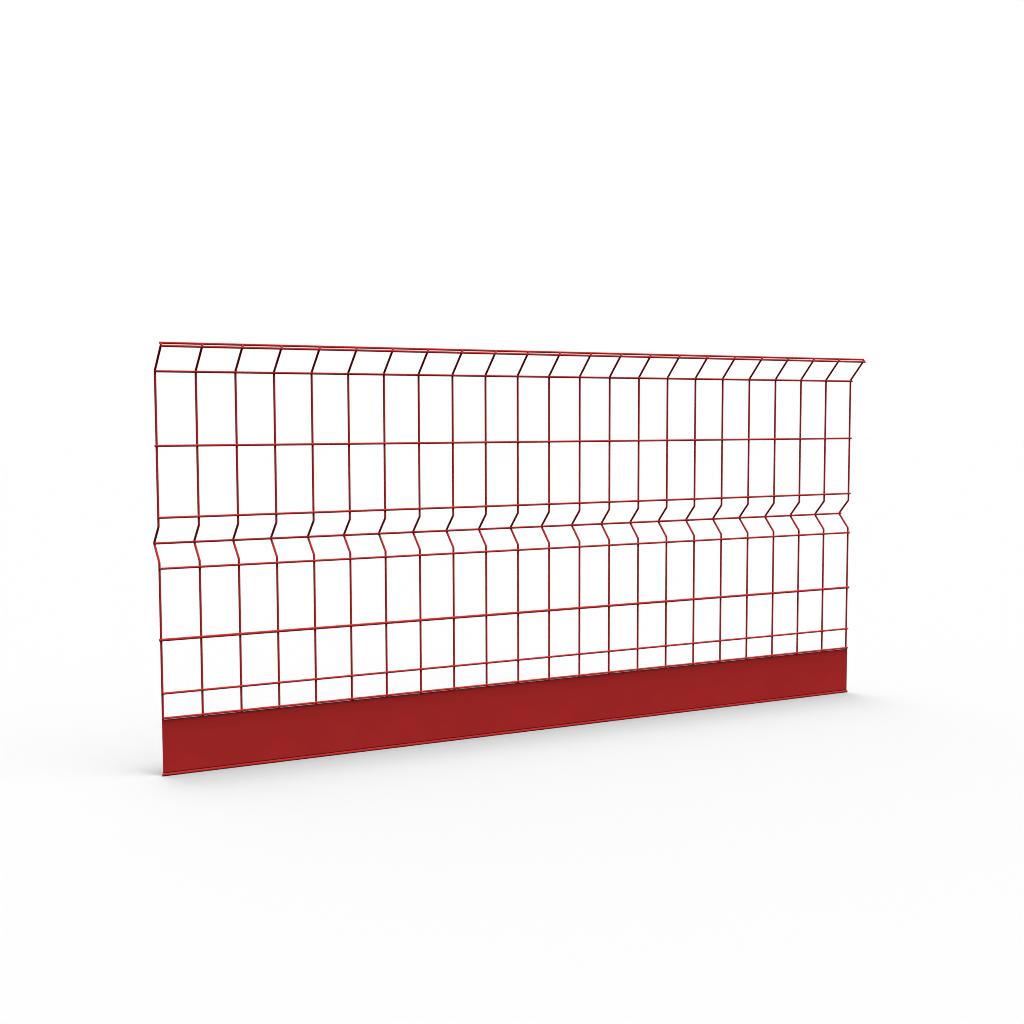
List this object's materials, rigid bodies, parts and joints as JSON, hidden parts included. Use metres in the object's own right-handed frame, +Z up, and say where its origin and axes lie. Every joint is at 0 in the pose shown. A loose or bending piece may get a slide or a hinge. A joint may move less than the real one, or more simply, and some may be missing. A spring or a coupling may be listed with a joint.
{
  "type": "edge protection mesh panel",
  "caption": "Welded wire mesh panel with a stiffening V fold, a top that leans to the front and a sheet metal toe board, hung on posts to guard an open edge on a building site.",
  "frame": {"origin": "middle of the bounding box's underside, on the floor", "axes": "+X along the panel to the right, -Y to the front, where the top leans, +Z up"},
  "size_m": [2.5034, 0.1264, 1.206],
  "materials": {
    "red_paint": "satin powder coat"
  },
  "bodies": {
    "root": {"upright_01": "red_paint", "upright_02": "red_paint", "upright_03": "red_paint", "upright_04": "red_paint", "upright_05": "red_paint", "upright_06": "red_paint", "upright_07": "red_paint", "upright_08": "red_paint", "upright_09": "red_paint", "upright_10": "red_paint", "upright_11": "red_paint", "upright_12": "red_paint", "upright_13": "red_paint", "upright_14": "red_paint", "upright_15": "red_paint", "upright_16": "red_paint", "upright_17": "red_paint", "upright_18": "red_paint", "upright_19": "red_paint", "upright_20": "red_paint", "upright_21": "red_paint", "upright_22": "red_paint", "upright_23": "red_paint", "bottom_wire": "red_paint", "board_wire": "red_paint", "lower_wire": "red_paint", "support_wire": "red_paint", "below_recess_wire": "red_paint", "recess_wire": "red_paint", "above_recess_wire": "red_paint", "upper_wire": "red_paint", "bend_wire": "red_paint", "top_front_wire": "red_paint", "top_rear_wire": "red_paint", "toe_board": "red_paint"}
  },
  "joints": []
}
